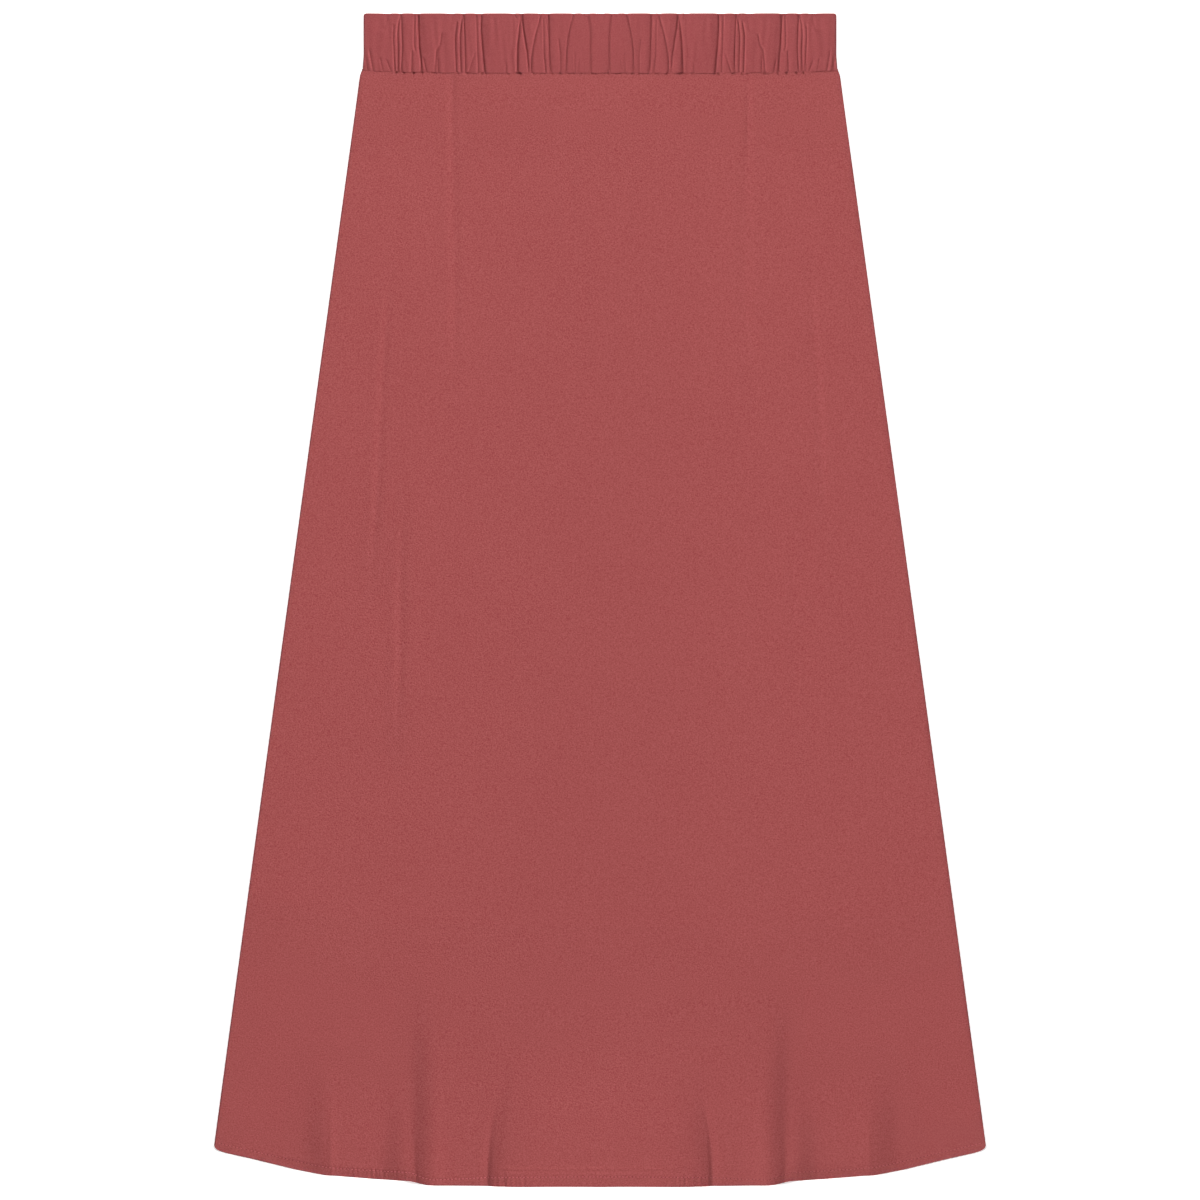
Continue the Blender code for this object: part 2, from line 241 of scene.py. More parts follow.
# Creases of the gathered waistband: points (across, below the top edge) in mm, depth, outer and inner width
BAND_CREASES = (
    Fold(((159.9, 29.0), (158.2, 40.6)), 0.35, 0.50, 0.60),
    Fold(((157.2, 24.9), (154.5, 40.6)), 0.40, 0.50, 0.60),
    Fold(((149.7, 30.3), (147.7, 40.6)), 0.30, 0.50, 0.50),
    Fold(((145.6, 31.7), (142.2, 40.6)), 0.30, 0.50, 0.50),
    Fold(((144.9, -2.4), (145.6, 4.4), (147.7, 14.0)), 0.40, 4.50, 0.90),
    Fold(((142.9, -2.4), (142.5, 0.3), (140.8, 3.1)), 0.50, 0.40, 0.40),
    Fold(((140.3, 7.2), (140.7, 17.4), (140.1, 28.3), (139.6, 42.6)), 0.50, 0.40, 0.40),
    Fold(((135.5, -2.4), (135.5, 0.7), (137.2, 7.8), (137.7, 14.7), (137.4, 25.6), (137.7, 42.6)),
         0.55, 0.40, 0.40),
    Fold(((135.5, -2.4), (135.5, 0.7), (135.0, 6.5), (134.4, 23.5), (135.3, 42.6)), 0.50, 0.40, 0.40),
    Fold(((127.7, 24.9), (128.4, 42.6)), 0.40, 0.50, 0.40),
    Fold(((126.0, -2.4), (126.0, 1.7), (126.4, 22.2), (125.1, 27.6)), 0.45, 0.40, 0.40),
    Fold(((123.5, -2.4), (123.5, 10.6), (122.9, 23.5), (121.8, 32.4), (121.6, 42.6)), 1.20, 0.45, 0.45),
    Fold(((123.2, 7.2), (122.3, 19.4), (121.1, 30.3)), 0.45, 0.50, 2.60),
    Fold(((120.5, 29.7), (117.6, 42.6)), 0.40, 0.40, 0.50),
    Fold(((107.4, 13.3), (108.8, 22.2), (111.2, 25.6), (112.5, 42.6)), 0.50, 0.50, 0.50),
    Fold(((110.1, 30.3), (110.1, 42.6)), 0.30, 0.40, 0.40),
    Fold(((99.9, -2.4), (100.6, 1.7), (102.6, 14.0)), 0.50, 4.50, 0.90),
    Fold(((100.6, -2.4), (100.3, 0.7), (98.1, 3.1)), 0.50, 0.40, 0.40),
    Fold(((96.8, 5.1), (98.5, 16.0), (97.7, 42.6)), 0.65, 0.40, 0.40),
    Fold(((92.8, -2.4), (92.8, 0.7), (94.3, 7.8), (95.2, 14.7), (94.6, 42.6)), 0.65, 0.40, 0.40),
    Fold(((92.6, -2.4), (92.6, 0.7), (91.9, 17.4), (91.5, 42.6)), 0.50, 0.40, 0.40),
    Fold(((84.6, 26.3), (90.0, 42.6)), 0.40, 0.40, 0.50),
    Fold(((83.9, -2.4), (83.9, 1.7), (83.3, 24.2), (82.6, 42.6)), 0.42, 0.40, 0.40),
    Fold(((82.6, -2.4), (82.6, 2.4)), 0.40, 0.40, 0.40),
    Fold(((80.7, -2.4), (80.7, 12.6), (80.0, 23.5), (79.1, 32.4), (78.2, 42.6)), 1.10, 0.45, 0.45),
    Fold(((80.4, 7.2), (79.5, 19.4), (78.1, 31.7)), 0.50, 0.50, 2.80),
    Fold(((63.8, 33.1), (63.8, 42.6)), 0.25, 0.40, 0.40),
    Fold(((59.1, -2.4), (59.1, 6.5), (59.0, 17.4), (60.4, 28.3), (58.7, 42.6)), 0.38, 2.20, 0.50),
    Fold(((58.0, -2.4), (58.0, 0.7), (56.1, 5.1)), 0.60, 0.45, 0.40),
    Fold(((53.8, 0.3), (53.9, 4.4), (54.6, 10.6), (55.7, 19.4), (56.1, 28.3), (56.3, 42.6)),
         1.15, 0.45, 0.50),
    Fold(((53.1, -2.4), (53.1, 0.7), (52.2, 10.6), (50.6, 19.4), (49.3, 28.3), (47.9, 42.6)),
         0.95, 0.45, 0.45),
    Fold(((40.0, -2.4), (40.2, 1.7), (41.9, 8.5), (43.6, 14.7), (45.4, 23.5), (46.5, 30.3), (46.9, 42.6)),
         0.62, 0.60, 0.50),
    Fold(((38.3, 3.1), (37.9, 28.3), (36.5, 42.6)), 0.45, 0.40, 0.40),
    Fold(((36.7, -2.4), (36.7, 2.4)), 0.35, 0.40, 0.40),
    Fold(((34.9, -2.4), (34.9, 0.7), (34.7, 14.7), (34.3, 28.3), (33.4, 42.6)), 1.05, 0.45, 0.45),
    Fold(((34.4, 3.1), (33.1, 18.1), (31.7, 35.8)), 0.50, 0.50, 5.00),
    Fold(((28.0, 16.7), (26.7, 28.3), (26.7, 42.6)), 0.55, 0.45, 0.45),
    Fold(((17.7, -2.4), (17.7, 0.7), (19.9, 8.5), (21.5, 17.4), (22.5, 25.6), (23.0, 42.6)),
         0.80, 0.45, 0.45),
    Fold(((17.1, 24.2), (16.8, 42.6)), 0.40, 0.40, 0.40),
    Fold(((13.6, 30.3), (15.5, 42.6)), 0.30, 0.40, 0.40),
    Fold(((10.6, -2.4), (10.6, 1.0), (9.1, 4.4)), 0.50, 0.80, 0.40),
    Fold(((7.7, -2.4), (7.7, 0.7), (6.4, 8.5), (6.0, 17.4), (5.8, 42.6)), 0.92, 0.45, 0.45),
    Fold(((2.0, -2.4), (1.6, 7.2)), 0.28, 0.40, 0.40),
    Fold(((0.0, -2.4), (0.0, 4.4)), 0.22, 0.50, 0.50),
    Fold(((1.7, 20.8), (0.0, 26.3)), 0.20, 1.20, 1.20),
)
CREASE_MOST = 0.0021  # no crease goes deeper than this
FOOT_MOST = 0.0003  # and than this at the band's foot, whose turn is thinner
CREASE_FADE = 3 * MM
CREASE_WIDTH = 1.35
SHARP_WIDTH = 2  # a crease is a sharp one if its two widths add up to less, in mm
SHARP_DEPTH = 1.3
SHARP_SHIFT = 0.45 * MM  # sharp creases lie this far outside their lines
SOFT_DEPTH = 0.7
SOFT_OUTER = 2.0  # the least outer width of the others, in mm
HOLLOW_DEPTH = 0.16  # share of a sharp crease's depth in the gentle hollow round it
HOLLOW_WIDTHS = (3.0, 2.6)  # outer and inner, in mm
PUFF_DEPTH = 0.07 * MM

# Small hollows where the gathers meet the waist seam: (across, half width) in mm, strength
SEAM_HOLLOWS = (
    (139.2, 0.8, 1.0), (134.2, 0.7, 1.0), (127.4, 0.8, 1.0), (121.3, 0.5, 0.7), (114.0, 2.2, 0.7),
    (97.2, 1.0, 0.5), (91.7, 1.6, 0.7), (81.0, 1.2, 0.8), (78.2, 0.6, 1.0), (63.1, 0.8, 0.4),
    (56.4, 1.3, 1.2), (54.6, 0.8, 1.0), (45.8, 0.8, 0.6), (40.2, 0.8, 0.7), (38.5, 0.5, 0.7),
    (32.9, 0.7, 0.6), (27.6, 1.0, 0.7), (23.5, 0.7, 0.6), (22.0, 0.5, 0.8), (18.3, 0.6, 0.6),
    (13.3, 1.0, 0.7), (11.3, 0.6, 0.7), (5.1, 0.8, 0.9), (3.3, 0.6, 0.6),
)
SEAM_HOLLOW_MOST = 1.3
SEAM_HOLLOW_DEPTH = 1.1 * MM
SEAM_HOLLOW_LENGTH = 0.95 * MM
FOOT_NICK = 0.55  # the band's foot is drawn up by this much in a hollow of strength 1, in mm
FOOT_NICK_START = 0.0385  # below the top edge
FOOT_NICK_FADE = 2.2 * MM
FOOT_WAVER = 0.9
FOOT_WAVES = (Wave(0.16, 410, 1.9, 133), Wave(0.10, 950, 1.3, 290))

# Colours
CREPE = (0.301, 0.0665, 0.0656)
BAND = (0.272, 0.0560, 0.0577)
THREAD = (0.43, 0.083, 0.090)
# The needle holes' colour is painted shade, darker than the cloth
NEEDLE_HOLE_SHADE = (0.13, 0.024, 0.026)
PALE_SWING = (1.4, 2.9, 2.6)  # the cloth's light yarns are paler: green and blue change more than red
SHEEN_TINT = (1.0, 0.72, 0.70, 1.0)
FLOOR_GREY = (0.93, 0.93, 0.93, 1.0)
WHITE = (1.0, 1.0, 1.0, 1.0)

# The cloth lies on this sheet, which fills the view
FLOOR_HALF = 6.0
FLOOR_Z = -0.0003

# The two beams cross over the skirt: each comes in low from one side and lights the opposite half
BEAM_SLANT = 54.0
BEAM_TARGET_X = 0.4250
BEAM_SIZE = (0.49392, 1.7)
BEAM_SPREAD = 2.6
CAMERA_HEIGHT = 2.2763


def smooth(share):
    """Goes from 0 to 1 with a soft start and a soft end."""
    share = np.clip(share, 0.0, 1.0)
    return share * share * (3 - 2 * share)


def fade_in(value, start, length):
    return smooth((value - start) / length)


def fade_out(value, end, length):
    return smooth((end - value) / length)


def bell(distance, width, power=2):
    """1 in the middle and near 0 past the width. A larger power gives it a flatter top."""
    return np.exp(-(np.abs(distance) / width) ** power)


def uneven_waves(waves, place, phase=0.0):
    """The sum of several uneven waves, the phase of each slow wave larger than that of the one before."""
    total = np.zeros_like(place)
    for number, wave in enumerate(waves, 1):
        slow = np.sin(place * wave.slow_rate + number * phase)
        total += wave.height * np.sin(place * wave.rate + wave.sway * slow)
    return total


def table_at(table_mm, across):
    """Looks up a table of (across, value) in mm that holds for both sides of the middle line."""
    table = np.array(table_mm) * MM
    return np.interp(np.abs(across), table[:, 0], table[:, 1])


def hem_rise(across):
    return table_at(HEM_EDGE_MM, across)


def stitch_y(across):
    return HEM_Y + table_at(STITCH_LINE_MM, across)


def seam_y(across):
    return BAND_FOOT_Y + SEAM_RISE * (np.abs(across) / BAND_FOOT_HALF) ** 4


def panel_half(above):
    below = PANEL_LENGTH - above
    straight = PANEL_TOP_HALF + (HEM_HALF - PANEL_TOP_HALF) * below / PANEL_LENGTH
    return straight - SHOULDER_IN * np.clip(1 - below / SHOULDER_DEPTH, 0, 1) ** 2


def fold_line(fold, place):
    """How far across a fold lies at these places along it, and the places where it starts and ends."""
    table = np.array(fold.points) * MM
    return np.interp(place, table[:, 1], table[:, 0]), table[0, 1], table[-1, 1]


def dent(distance, fold, power):
    """A fold's cross-section, 1 at its line. A positive distance is on its outer side."""
    return bell(distance, np.where(distance > 0, fold.outer, fold.inner) * MM, power)


def flute_row(across, above):
    """Height of the hem's flutes in one row, before it is smoothed."""
    height = np.zeros_like(across)
    for flute in FLUTES:
        share = min(1.0, above / MM / flute.reach)
        hem, fade, rise = (np.array(values) * MM for values in zip(*flute.section))
        growth = (1 - share**FLUTE_POWER) ** FLUTE_POWER
        height += np.interp(across, hem + (fade - hem) * share, rise) * growth
    return height


def flutes(across, above_rows):
    """Heights of the hem's flutes on a grid, each row with its own distances from the middle."""
    fine = np.arange(-FLUTE_SPAN, FLUTE_SPAN, FLUTE_STEP)
    reach = int(4 * FLUTE_SOFTNESS / FLUTE_STEP)
    kernel = np.exp(-0.5 * (np.arange(-reach, reach + 1) * FLUTE_STEP / FLUTE_SOFTNESS) ** 2)
    kernel /= kernel.sum()
    heights = np.zeros_like(across)
    for row, above in enumerate(above_rows):
        if above < FLUTE_TOP:
            raw = np.convolve(flute_row(np.abs(fine), above), kernel, "same")
            heights[row] = np.interp(across[row], fine, raw)
    return heights


def hem_folds(across, above_low):
    """How far the finer folds by the hem sink the cloth. Each fades out towards its top."""
    total = np.zeros_like(across)
    for fold in HEM_FOLDS:
        line, start, end = fold_line(fold, above_low)
        fade = fade_out(above_low, end, FOLD_FADE * (end - start))
        total += fold.depth * MM * fade * dent(np.abs(across) - line, fold, power=1.6)
    return total


def body_creases(across, above_low):
    """How far the faint creases sink the body of the front panel."""
    total = np.zeros_like(across)
    for fold in BODY_CREASES:
        line, start, end = fold_line(fold, above_low)
        fade = fade_in(above_low, start - BODY_CREASE_FADE / 2, BODY_CREASE_FADE)
        fade = fade * fade_out(above_low, end + BODY_CREASE_FADE / 2, BODY_CREASE_FADE)
        total += fold.depth * MM * fade * dent(np.abs(across) - line, fold, power=2.0)
    return total


def puckers(across, above, phase):
    """Ripples that the stitches draw in the turned-up hem, strongest by the folds."""
    strength = PUCKER_LEAST
    for middle, half_width, growth in PUCKER_ZONES:
        strength = strength + growth * bell(np.abs(across) / MM - middle, half_width, 4)
    window = fade_in(above, 0.0, PUCKER_START_FADE) * fade_out(above, PUCKER_TOP, PUCKER_TOP_FADE)
    return strength * MM * uneven_waves(PUCKER_WAVES, across, phase) * window


def turn_up(across, above):
    """Rise of the front's face over the turned-up hem, crisper in the middle, with a faint line on it."""
    middle = fade_out(np.abs(across), MIDDLE_HALF, MIDDLE_FADE)
    gentle = fade_out(above, GENTLE_END, GENTLE_FADE)
    crisp = CRISP_LIFT * fade_out(above, CRISP_END, CRISP_FADE)
    line_depth = TURN_LINE_DEPTH * (TURN_LINE_LEAST + (1 - TURN_LINE_LEAST) * middle)
    line = line_depth * bell(above - TURN_LINE, TURN_LINE_WIDTH)
    return HEM_LIFT * (gentle + (crisp - gentle) * middle) - line


def hem_roll(across, above):
    """How far the hem rolls down: the strip under the stitches, the outer flutes, and the middle.

    Each part fades in or out across the hem at a place and over a length that are given in mm.
    """
    place = np.abs(across) / MM
    outer_end = fade_out(place, 212, 24)
    strip = 0.2 + 1.1 * fade_in(place, 112, 22) * outer_end
    wide = 0.9 * fade_in(place, 128, 14) * outer_end
    middle = 1.4 * fade_out(place, 116, 14) + 1.4 * fade_out(place, 66, 50)
    total = strip * np.clip(1 - above / ROLL_STRIP, 0, 1) ** 1.4
    total += wide * smooth(1 - above / ROLL_WIDE)
    total += middle * np.clip(1 - above / ROLL_MIDDLE, 0, 1) ** 1.5
    return total * MM


def seam_hollows(gather):
    """Strength of the small hollows where the gathers meet the waist seam."""
    total = np.zeros_like(gather)
    for place, width, strength in SEAM_HOLLOWS:
        total += strength * bell(gather - place * MM, width * MM, 4)
    return np.minimum(total, SEAM_HOLLOW_MOST)


def spread_columns(half, count):
    """x of so many columns for rows of these half widths, with narrow steps by the sides."""
    half = np.atleast_1d(half)[:, None]
    left = EDGE_INSETS - half
    middle = np.linspace(-1, 1, count - 2 * len(EDGE_INSETS))
    plain = (half - EDGE_INSETS[-1] - EDGE_STEP) * middle
    return np.concatenate([left, plain, -left[:, ::-1]], axis=1)


def side_share(half, x, reach):
    """1 inside and 0 at the side's edge, on a quarter round."""
    inset = np.clip((half[:, None] - np.abs(x)) / reach, 0, 1)
    return np.sqrt(1 - (1 - inset) ** 2)


def panel_rows(body_steps, flute_steps, hem_steps):
    """Distances above the hem, from the waist seam down."""
    body = np.linspace(*BODY_ROWS, body_steps)
    flute = np.linspace(*FLUTE_ROWS, flute_steps)
    hem = np.linspace(*HEM_ROWS, hem_steps)
    return np.concatenate([PANEL_LENGTH - SEAM_ROWS, PANEL_LENGTH - body, flute, hem])


def panel_heights(facing, x, y, above):
    """Heights of a panel's outer face and of its lining, before its sides are closed."""
    below = PANEL_LENGTH - above
    height = flutes(x, above[:, 0])
    if facing > 0:
        height = height - hem_folds(x, y - HEM_Y)
        height = np.where(height < LEAST_RISE, LEAST_RISE * np.exp(height / LEAST_RISE - 1), height)
    near = np.clip(1 - above / FLUTE_TOP, 0, 1) ** 0.5
    height = height * np.minimum(1, near * 3)
    ripple = puckers(x, above, 1.0 if facing > 0 else 4.0)
    groove = GROOVE_DEPTH * bell(y - stitch_y(x), GROOVE_WIDTH)
    wall = CLOTH + (HEM_WALL - CLOTH) * fade_out(above, HEM_WALL_END, HEM_WALL_STEP)
    if facing < 0:
        face = height * BACK_SHARE + np.abs(ripple) + groove
        face += WAIST_LIFT * smooth(1 - below / BACK_LIFT_LENGTH)
        return face, face + wall
    face = FRONT_TOP + height + turn_up(x, above) + ripple - groove - body_creases(x, y - HEM_Y)
    face -= hem_roll(x, above)
    face -= SEAM_HOLLOW_DEPTH * seam_hollows(np.abs(x)) * bell(below, SEAM_HOLLOW_LENGTH)
    face += WAIST_LIFT * smooth(1 - below / FRONT_LIFT_LENGTH)
    return face, face + groove + np.maximum(0, -ripple) - wall


def panel_shell(facing, columns, steps):
    """The panel's outer grid, which wraps round the hem, and its inner grid."""
    rows = panel_rows(*steps)
    half = panel_half(rows)
    x = spread_columns(half, columns)
    hem_line = HEM_Y + hem_rise(spread_columns(HEM_HALF, columns)[0])
    share = (1 - rows / PANEL_LENGTH)[:, None]
    y = seam_y(x) * (1 - share) + hem_line * share
    above = rows[:, None] + np.zeros_like(x)
    face, lining = panel_heights(facing, x, y, above)
    level = SEAM_LINE_Z + SEAM_LINE_LIFT * smooth(1 - (PANEL_LENGTH - above) / SEAM_LINE_LIFT_LENGTH)
    thin = side_share(half, x, SIDE_ROUND)
    face = level + (face - level) * thin
    lining = level + (lining - level) * thin

    turned = []
    radius = np.abs(face[-1] - lining[-1]) / 2
    edge_x = x[-1] / half[-1] * HEM_HALF
    for angle in np.linspace(0.0, math.pi, HEM_TURN_STEPS):
        turn_y = hem_line + radius * (1 - math.sin(angle))
        turn_z = face[-1] + (lining[-1] - face[-1]) * (1 - math.cos(angle)) / 2
        turned.append(np.stack([edge_x, turn_y, turn_z], axis=1))
    tucked = [np.stack([x[0] * TUCK_NARROWING, y[0] + tuck, face[0]], axis=1) for tuck in TUCKS]
    outer = np.concatenate([np.array(tucked), np.stack([x, y, face], axis=2), np.array(turned)])
    inner_top = np.stack([x[0] * TUCK_NARROWING, y[0] + TUCKS[0], lining[0]], axis=1)[None]
    inner = np.concatenate([inner_top, np.stack([x, y, lining], axis=2), np.array(turned[-1:])])
    return outer, inner


def thinned(grid, rows, columns):
    """A grid with only so many of its rows and columns, its borders kept."""
    row_at = np.round(np.linspace(0, grid.shape[0] - 1, rows)).astype(int)
    column_at = np.round(np.linspace(0, grid.shape[1] - 1, columns)).astype(int)
    return grid[row_at][:, column_at]


# A row of the waistband's outside: its y, rise and normal, how far down its creases are read, in mm, and
# how deep they may go
BandRow = namedtuple("BandRow", "y rise normal_y normal_z down most")


def band_section(facing, rows):
    """Rows of the waistband from the lining's top round the top fold and the foot to the lining's end."""
    radius = BAND_WALL / 2
    section = [BandRow(TOP_Y - LINING_TOP, 0.0, 0.0, 0.0, -3.0, 0.0)]
    for angle in np.linspace(0.0, math.pi, TOP_FOLD_STEPS):
        turned = angle / math.pi
        y = TOP_Y - radius * (1 - math.sin(angle))
        rise = radius * (1 - math.cos(angle))
        most = (0.15 + 0.45 * turned) * MM * math.sin(angle / 2)
        section.append(BandRow(y, rise, math.sin(angle), -math.cos(angle), (turned - 0.55) * 2.6, most))
    plain_start = TOP_Y - radius
    plain_end = BAND_FOOT_Y + FOOT_WALL / 2
    crown = BAND_CROWN if facing > 0 else 0.0
    slump = BAND_WALL - FOOT_RISE if facing > 0 else 0.0
    for even_share in np.linspace(0.0, 1.0, rows)[1:-1]:
        share = even_share - 0.05 * math.sin(2 * math.pi * even_share)  # rows lie closer by both ends
        y = plain_start + (plain_end - plain_start) * share
        rise = BAND_WALL + crown * 4 * share * (1 - share) - slump * share
        slope = (crown * 4 * (1 - 2 * share) - slump) / BAND_HEIGHT
        most = FOOT_MOST + (CREASE_MOST - FOOT_MOST) * min(1.0, (share + 0.01) / 0.05, (1 - share) / 0.13)
        section.append(BandRow(y, rise, slope, 1.0, (TOP_Y - y) / MM, most))
    top = BAND_WALL - slump
    for angle in np.linspace(0.0, math.pi, FOOT_TURN_STEPS):
        y = plain_end - FOOT_WALL / 2 * math.sin(angle)
        rise = top - FOOT_WALL / 2 * (1 - math.cos(angle))
        section.append(BandRow(y, rise, -math.sin(angle), math.cos(angle), (TOP_Y - y) / MM, FOOT_MOST))
    for tuck, rise, normal_z in ((1.5, top - FOOT_WALL, -1.0), (2.5, top - FOOT_WALL, 0.0), (4.5, 0.0, 0.0)):
        down = BAND_HEIGHT / MM - tuck
        section.append(BandRow(BAND_FOOT_Y + tuck * MM, rise, 0.0, normal_z, down, 0.0))
    return BandRow(*(np.array(values)[:, None] for values in zip(*section)))


def band_relief(gather, down):
    """Depth of the waistband's gathers, with the gentle hollows round the sharp ones."""
    relief = np.zeros_like(gather)
    for fold in BAND_CREASES:
        line, start, end = fold_line(fold, down)
        fade = fade_in(down, start, CREASE_FADE) if start > 0 else np.ones_like(down)
        if end < BAND_HEIGHT - 1 * MM:
            fade = fade * fade_out(down, end, CREASE_FADE)
        depth = fold.depth * MM * fade
        if fold.outer + fold.inner < SHARP_WIDTH:
            crease = fold._replace(outer=fold.outer * CREASE_WIDTH, inner=fold.inner * CREASE_WIDTH)
            hollow = fold._replace(outer=HOLLOW_WIDTHS[0], inner=HOLLOW_WIDTHS[1])
            distance = gather - line - SHARP_SHIFT
            relief += SHARP_DEPTH * depth * dent(distance, crease, power=1.5)
            relief += HOLLOW_DEPTH * depth * dent(distance, hollow, power=2.0)
        else:
            crease = fold._replace(outer=max(fold.outer, SOFT_OUTER), inner=fold.inner * CREASE_WIDTH)
            relief += SOFT_DEPTH * depth * dent(gather - line, crease, power=2.0)
    # Small uneven puffs all over the band
    puffs = np.sin(gather * 620 + 2.1 * np.sin(gather * 171) + 1.2 * np.sin(down * 130 + gather * 90))
    puffs += 0.7 * np.sin(gather * 1130 + down * 60 + 1.7 * np.sin(gather * 263 + down * 75))
    return relief + PUFF_DEPTH * puffs * smooth(down / (6 * MM))


def band_shell(facing, columns, rows):
    """Half of the waistband: an outer grid round its top fold and its foot, and its plain inner grid."""
    section = band_section(facing, rows)
    down = section.down * MM
    height_share = np.clip((section.y - BAND_FOOT_Y) / BAND_HEIGHT, 0, 1)
    half = (BAND_FOOT_HALF + (WAIST_HALF - BAND_FOOT_HALF) * smooth(height_share * 3))[:, 0]
    half = half - SIDE_STEP * np.linspace(0, 1, len(half))
    x = spread_columns(half, columns)
    gather = np.abs(x) if facing > 0 else np.abs(BACK_GATHER_START - np.abs(x))
    limit = np.maximum(section.most, 1e-6)
    relief = limit * np.tanh(band_relief(gather, down) / limit)
    length = np.maximum(np.hypot(section.normal_y, section.normal_z), 1e-6)

    y = section.y + (seam_y(x) - BAND_FOOT_Y) * (1 - height_share)
    into = np.clip((np.abs(x) - (half[:, None] - BAND_CORNER)) / BAND_CORNER, 0, 1)
    y = y - (BAND_CORNER - np.sqrt(BAND_CORNER**2 - (into * BAND_CORNER) ** 2)) * height_share
    near_foot = fade_in(down, FOOT_NICK_START, FOOT_NICK_FADE)
    waver = uneven_waves(FOOT_WAVES, x)
    y = y - section.normal_y / length * relief
    y = y + near_foot * MM * (FOOT_NICK * seam_hollows(gather) + FOOT_WAVER * waver)

    rise = section.rise - section.normal_z / length * relief
    z = BAND_PLANE + rise if facing > 0 else np.maximum(BAND_WALL - rise, 0.0)
    z = BAND_FOLD_Z + (z - BAND_FOLD_Z) * side_share(half, x, BAND_SIDE_ROUND)
    outer = np.stack([x, y, z], axis=2)
    share = np.linspace(0, 1, LINING_STEPS)[:, None, None]
    inner = outer[0][None] * (1 - share) + outer[-1][None] * share
    return outer, inner


def fan(faces, fine, coarse, flip):
    """Triangles between a fine border line and a coarse one."""
    order = -1 if flip else 1
    per = (len(fine) - 1) / (len(coarse) - 1)
    at = 0
    for index in range(len(coarse) - 1):
        until = round(per * (index + 0.5))
        stop = round(per * (index + 1))
        while at < until:
            faces.append((fine[at], fine[at + 1], coarse[index])[::order])
            at += 1
        faces.append((coarse[index], fine[at], coarse[index + 1])[::order])
        while at < stop:
            faces.append((fine[at], fine[at + 1], coarse[index + 1])[::order])
            at += 1


def linked(name, data):
    """A new object in the scene."""
    made = bpy.data.objects.new(name, data)
    bpy.context.scene.collection.objects.link(made)
    return made


def closed_cloth(name, outer, inner, material):
    """One closed mesh from a fine outer grid and a coarse inner one without its border, joined all round."""
    inner = inner[1:-1, 1:-1]
    rows, columns = outer.shape[:2]
    inner_rows, inner_columns = inner.shape[:2]
    face = np.arange(rows * columns).reshape(rows, columns)
    back = rows * columns + np.arange(inner_rows * inner_columns).reshape(inner_rows, inner_columns)
    face_quads = np.stack([face[:-1, :-1], face[:-1, 1:], face[1:, 1:], face[1:, :-1]], axis=-1)
    back_quads = np.stack([back[:-1, :-1], back[1:, :-1], back[1:, 1:], back[:-1, 1:]], axis=-1)
    faces = face_quads.reshape(-1, 4).tolist() + back_quads.reshape(-1, 4).tolist()
    fan(faces, face[0].tolist(), back[0].tolist(), True)
    fan(faces, face[-1].tolist(), back[-1].tolist(), False)
    fan(faces, face[:, 0].tolist(), back[:, 0].tolist(), False)
    fan(faces, face[:, -1].tolist(), back[:, -1].tolist(), True)
    mesh = bpy.data.meshes.new(name)
    points = np.concatenate([outer.reshape(-1, 3), inner.reshape(-1, 3)])
    mesh.from_pydata(points.tolist(), [], faces)
    builder = bmesh.new()
    builder.from_mesh(mesh)
    bmesh.ops.remove_doubles(builder, verts=builder.verts[:], dist=1e-7)
    bmesh.ops.recalc_face_normals(builder, faces=builder.faces[:])
    builder.to_mesh(mesh)
    builder.free()
    mesh.shade_smooth()
    mesh.materials.append(material)
    return linked(name, mesh)


def surface_height(grid, x, y):
    """Height of a grid at a few points, from its six nearest vertices."""
    flat = grid.reshape(-1, 3)
    heights = []
    for point_x, point_y in zip(x, y):
        distance = (flat[:, 0] - point_x) ** 2 + (flat[:, 1] - point_y) ** 2
        nearest = np.argpartition(distance, 6)[:6]
        weight = 1 / (distance[nearest] + 1e-9)
        heights.append((flat[nearest, 2] * weight).sum() / weight.sum())
    return np.array(heights)


def path_point(path, lengths, place):
    """The point of a path at this length along it."""
    return np.array([np.interp(place, lengths, path[:, axis]) for axis in range(3)])


def add_stitch(verts, faces, path, lengths, centre_at, length, tilt, facing):
    """A rounded stitch that dips into the cloth at both ends."""
    base = len(verts)
    for ring in STITCH_RINGS:
        ring_at = centre_at + ring * length / 2
        place = path_point(path, lengths, ring_at)
        tangent = path_point(path, lengths, ring_at + STITCH_PATH_STEP) - place
        tangent /= np.linalg.norm(tangent)
        sideways = np.cross((0, 0, 1), tangent)
        sideways /= np.linalg.norm(sideways)
        up = np.cross(tangent, sideways)
        radius = THREAD_RADIUS * math.sqrt(max(0.02, 1 - abs(ring) ** 3))
        lift = (STITCH_CROWN - STITCH_DIP * abs(ring) ** 2.5) * MM * facing
        middle = place + up * lift + sideways * tilt * ring * MM
        for side in range(THREAD_SIDES):
            angle = 2 * math.pi * side / THREAD_SIDES
            arm = sideways * math.cos(angle) + up * math.sin(angle) * THREAD_FLATNESS
            point = middle + arm * radius
            verts.append((point[0], point[1], max(point[2], 0.0)))
    for ring in range(len(STITCH_RINGS) - 1):
        for side in range(THREAD_SIDES):
            start = base + ring * THREAD_SIDES + side
            after = base + ring * THREAD_SIDES + (side + 1) % THREAD_SIDES
            faces.append((start, after, after + THREAD_SIDES, start + THREAD_SIDES))
    last = base + (len(STITCH_RINGS) - 1) * THREAD_SIDES
    faces.append(tuple(range(base, base + THREAD_SIDES))[::-1])
    faces.append(tuple(range(last, last + THREAD_SIDES)))


